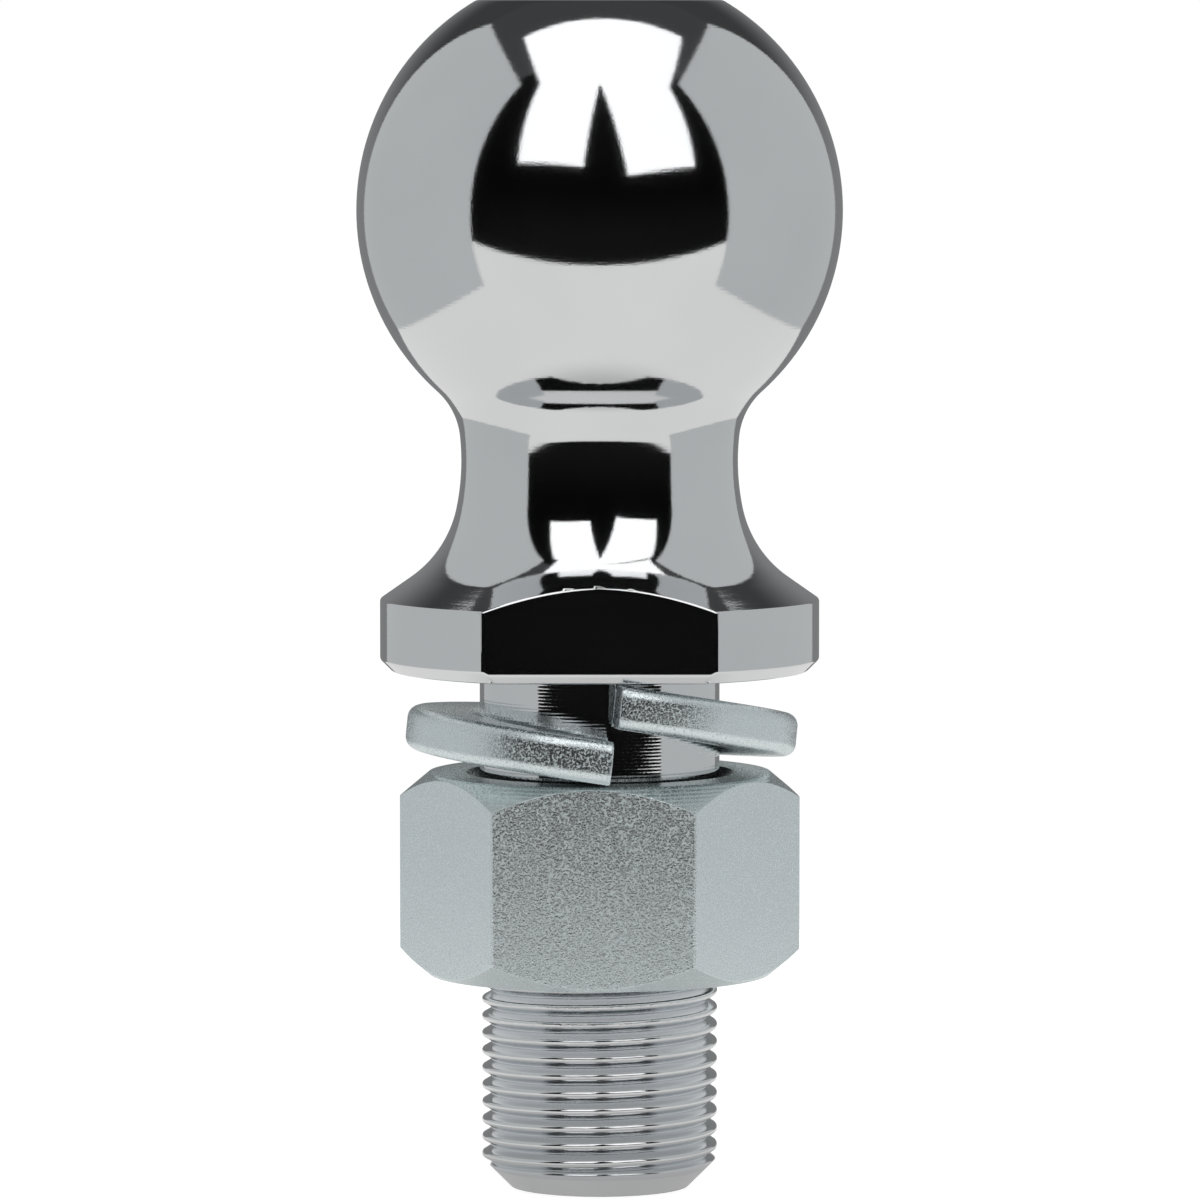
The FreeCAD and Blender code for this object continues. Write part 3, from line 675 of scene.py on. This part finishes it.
class TOWBALL_OT_washer(bpy.types.Operator):
    """Build the split lock washer"""
    bl_idname = "towball.washer"
    bl_label = "Build Lock Washer"

    def execute(self, context):
        scene = context.scene
        sizes = scene.tow_ball_washer
        mesh = bmesh.new()
        bmesh.ops.create_grid(mesh, x_segments=1, y_segments=1, size=0.5)
        width = sizes.outer - sizes.bore
        bmesh.ops.scale(mesh, vec=(width, sizes.thickness, 1.0), verts=mesh.verts)
        bmesh.ops.bevel(mesh, geom=mesh.verts[:], offset=sizes.rounding, offset_type="OFFSET", segments=6,
                        profile=0.5, affect="VERTICES", material=-1)
        bmesh.ops.delete(mesh, geom=mesh.faces[:], context="FACES_ONLY")
        upright = Matrix.Rotation(math.radians(90.0), 3, "X")
        bmesh.ops.rotate(mesh, cent=(0, 0, 0), matrix=upright, verts=mesh.verts)
        bmesh.ops.translate(mesh, vec=(sizes.bore + 0.5 * width, 0.0, -0.5 * sizes.rise), verts=mesh.verts)
        lower_end = Matrix.Rotation(sizes.start, 3, "Z")
        bmesh.ops.rotate(mesh, cent=(0, 0, 0), matrix=lower_end, verts=mesh.verts)
        bmesh.ops.spin(mesh, geom=mesh.verts[:] + mesh.edges[:], cent=(0, 0, 0), axis=UP, angle=-sizes.sweep,
                       steps=sizes.steps, dvec=UP * sizes.rise / sizes.steps)
        open_edges = [edge for edge in mesh.edges if edge.is_boundary]
        ends = bmesh.ops.holes_fill(mesh, edges=open_edges, sides=0)["faces"]
        bmesh.ops.recalc_face_normals(mesh, faces=mesh.faces)
        break_edges(mesh, touching(mesh.edges, ends), sizes.end_break, segments=2)
        lean_axis = (-math.sin(sizes.lean_way), math.cos(sizes.lean_way), 0.0)
        lean = Matrix.Rotation(sizes.lean, 4, lean_axis)
        place = Matrix.Translation((sizes.shift, 0.0, sizes.middle))
        bmesh.ops.transform(mesh, matrix=place @ lean, verts=mesh.verts)
        finishes = scene.tow_ball_finishes
        zinc = zinc_plate("washer_zinc", finishes, finishes.washer_grain, finishes.washer_pits,
                          finishes.washer_haze)
        finish_piece(mesh, "split_washer", "lock_washer", "washer", zinc)
        return {"FINISHED"}


class TOWBALL_OT_nut(bpy.types.Operator):
    """Build the hex nut"""
    bl_idname = "towball.nut"
    bl_label = "Build Hex Nut"

    def execute(self, context):
        scene = context.scene
        sizes = scene.tow_ball_nut
        mesh = bmesh.new()
        fall = (sizes.corner - sizes.face) * math.tan(sizes.slope)
        sink = sizes.mouth - sizes.bore
        pen = Pen(mesh, sizes.bore, sizes.bottom + sink)
        pen.line(sizes.mouth, sizes.bottom)
        pen.line(sizes.face, sizes.bottom, steps=2)
        pen.line(sizes.corner, sizes.bottom + fall, steps=12)
        pen.line(sizes.corner, sizes.top - fall)
        pen.line(sizes.face, sizes.top, steps=12)
        pen.line(sizes.mouth, sizes.top, steps=2)
        pen.line(sizes.bore, sizes.top - sink)
        pen.line(sizes.bore, sizes.bottom + sink)
        turn(mesh, sizes.steps)
        for side in range(6):
            way = sizes.turn + math.radians(30.0 + 60.0 * side)
            out = Vector((math.cos(way), math.sin(way), 0.0))
            shear(mesh, mesh.faces[:], out * sizes.apothem, out)
        bmesh.ops.recalc_face_normals(mesh, faces=mesh.faces)
        break_edges(mesh, sharp_edges(mesh), sizes.edge_break)
        finishes = scene.tow_ball_finishes
        zinc = zinc_plate("nut_zinc", finishes, finishes.nut_grain, finishes.nut_pits,
                          finishes.nut_haze, sizes.mouth)
        finish_piece(mesh, "plated_nut", "hex_nut", "nut", zinc)
        return {"FINISHED"}


class TOWBALL_OT_tent(bpy.types.Operator):
    """Set up the table, the light tent and the camera"""
    bl_idname = "towball.tent"
    bl_label = "Set Up Light Tent"

    def execute(self, context):
        scene = context.scene
        tent = scene.tow_ball_tent
        scene.view_settings.view_transform = "Standard"
        self.hang_panels(tent)
        self.lay_table(tent)
        self.light_world(scene, tent)
        self.place_camera(scene, tent)
        return {"FINISHED"}

    def hang_panels(self, tent):
        """Hangs the walls, the roof and the two lamp screens."""
        cool = (0.965, 0.99, 1.0)
        white = tent_cloth("tent_white", tent.white, (1.0, 1.0, 1.0))
        wall = tent_cloth("tent_wall", tent.wall, cool)
        roof = tent_cloth("tent_roof", tent.roof, cool)
        rear = tent_cloth("tent_rear", tent.rear, cool, dims_upwards=True)
        side, front, back, lean = tent.side, -tent.front, tent.back, tent.back_top
        for name, x in (("tent_left", -side), ("tent_right", side)):
            panel(name, four_corners((x, front, 0.0), (x, back, 0.0), (x, lean, tent.top_back),
                                     (x, front, tent.top_front)), wall)
        panel("tent_rear", four_corners((-side, back, 0.0), (side, back, 0.0), (side, lean, tent.top_back),
                                        (-side, lean, tent.top_back)), rear)
        far, high = tent.roof_side, tent.roof_height
        panel("tent_roof", four_corners((-far, front, high), (far, front, high), (far, back, high),
                                        (-far, back, high)), roof)
        ceiling = [(across * MM, behind * MM, tent.ceiling) for across, behind in CEILING_CORNERS]
        panel("tent_ceiling", four_corners(*ceiling), white)
        for name, corners in LAMP_SCREENS.items():
            screen = [(across * MM, -tent.lamp_front, height * MM) for across, height in corners]
            panel(name, four_corners(*screen), white)

    def lay_table(self, tent):
        """Lays the table: white to the camera, grey and shaded to the metal, clear from below."""
        material = bpy.data.materials.new("table_white")
        graph = Graph(material)
        _point, (x, y, _z) = graph.place()
        radius = graph.maths("SQRT", x * x + y * y)
        near = graph.ramp(radius, low=50.0 * MM, high=240.0 * MM, first=0.80, last=1.0)
        paper = graph.node("ShaderNodeBsdfDiffuse", None, {"Color": opaque((0.6, 0.6, 0.6))})
        glow = graph.node("ShaderNodeEmission", None, {"Color": opaque((1.0, 1.0, 1.0)), "Strength": near})
        lit = graph.node("ShaderNodeAddShader", None, {0: paper.outputs[0], 1: glow.outputs[0]})
        board = (y > -tent.table_front) * (graph.maths("ABSOLUTE", x) < tent.table_side)
        shade = graph.ramp(radius, low=15.0 * MM, high=52.0 * MM, first=tent.foot_shade, last=tent.floor)
        level = board * (shade - tent.dark) + tent.dark
        warm = opaque((1.0, 1.0, 0.985))
        seen_in_metal = graph.node("ShaderNodeEmission", None, {"Color": warm, "Strength": level})
        rays = graph.node("ShaderNodeLightPath").outputs
        mirrored = graph.maths("MAXIMUM", rays["Is Glossy Ray"], rays["Is Transmission Ray"])
        both = graph.node("ShaderNodeMixShader", None,
                          {0: mirrored, 1: lit.outputs[0], 2: seen_in_metal.outputs[0]})
        from_below = graph.node("ShaderNodeNewGeometry").outputs["Backfacing"]
        clear = graph.node("ShaderNodeBsdfTransparent").outputs[0]
        top = graph.node("ShaderNodeMixShader", None, {0: from_below, 1: both.outputs[0], 2: clear})
        graph.finish("ShaderNodeOutputMaterial", top.outputs[0])
        far, low = 6.0, -0.1 * MM
        corners = four_corners((-far, -far, low), (far, -far, low), (far, far, low), (-far, far, low))
        panel("table", corners, material)

    def light_world(self, scene, tent):
        """White to the camera, and a dark room to everything else."""
        world = scene.world or bpy.data.worlds.new("studio")
        scene.world = world
        graph = Graph(world)
        camera_ray = Field(graph, graph.node("ShaderNodeLightPath").outputs["Is Camera Ray"])
        strength = camera_ray * (1.0 - tent.dark) + tent.dark
        white = opaque((1.0, 1.0, 1.0))
        sky = graph.node("ShaderNodeBackground", None, {"Color": white, "Strength": strength})
        graph.finish("ShaderNodeOutputWorld", sky.outputs[0])

    def place_camera(self, scene, tent):
        """Stands the camera in front of the object, at the photograph's height."""
        data = bpy.data.cameras.new("camera")
        data.sensor_width = SENSOR_WIDTH
        data.lens = SENSOR_WIDTH * tent.camera_focal
        data.clip_start = 0.01
        data.clip_end = 50.0
        camera = bpy.data.objects.new("camera", data)
        scene.collection.objects.link(camera)
        camera.location = (tent.camera_side, -tent.camera_distance, tent.camera_height)
        camera.rotation_euler = (math.radians(90.0) - tent.camera_pitch, 0.0, 0.0)
        scene.camera = camera


class TOWBALL_PT_panel(bpy.types.Panel):
    """Lists the tow ball's pieces and its stage"""
    bl_label = "Tow Ball"
    bl_idname = "TOWBALL_PT_panel"
    bl_space_type = "VIEW_3D"
    bl_region_type = "UI"
    bl_category = "Tow Ball"

    def draw(self, context):
        for operator in OPERATORS:
            self.layout.operator(operator.bl_idname)
        for name in GROUPS:
            group = getattr(context.scene, name)
            box = self.layout.box()
            box.label(text=GROUPS[name].__name__)
            for key in GROUPS[name].__annotations__:
                box.prop(group, key)


GROUPS = {
    "tow_ball_sizes": BallSizes,
    "tow_ball_thread": ThreadSizes,
    "tow_ball_washer": WasherSizes,
    "tow_ball_nut": NutSizes,
    "tow_ball_finishes": Finishes,
    "tow_ball_tent": TentSizes,
}
OPERATORS = (TOWBALL_OT_forging, TOWBALL_OT_washer, TOWBALL_OT_nut, TOWBALL_OT_tent)


def register():
    """Registers the classes and hangs the sizes on the scene."""
    for group in (*GROUPS.values(), *OPERATORS, TOWBALL_PT_panel):
        bpy.utils.register_class(group)
    for name, group in GROUPS.items():
        setattr(bpy.types.Scene, name, PointerProperty(type=group))


def unregister():
    """Takes away what register added."""
    for name in GROUPS:
        delattr(bpy.types.Scene, name)
    for group in (TOWBALL_PT_panel, *OPERATORS, *GROUPS.values()):
        bpy.utils.unregister_class(group)


def main():
    """Builds every piece and the stage."""
    register()
    bpy.ops.towball.forging()
    bpy.ops.towball.washer()
    bpy.ops.towball.nut()
    bpy.ops.towball.tent()


if __name__ == "__main__":
    main()
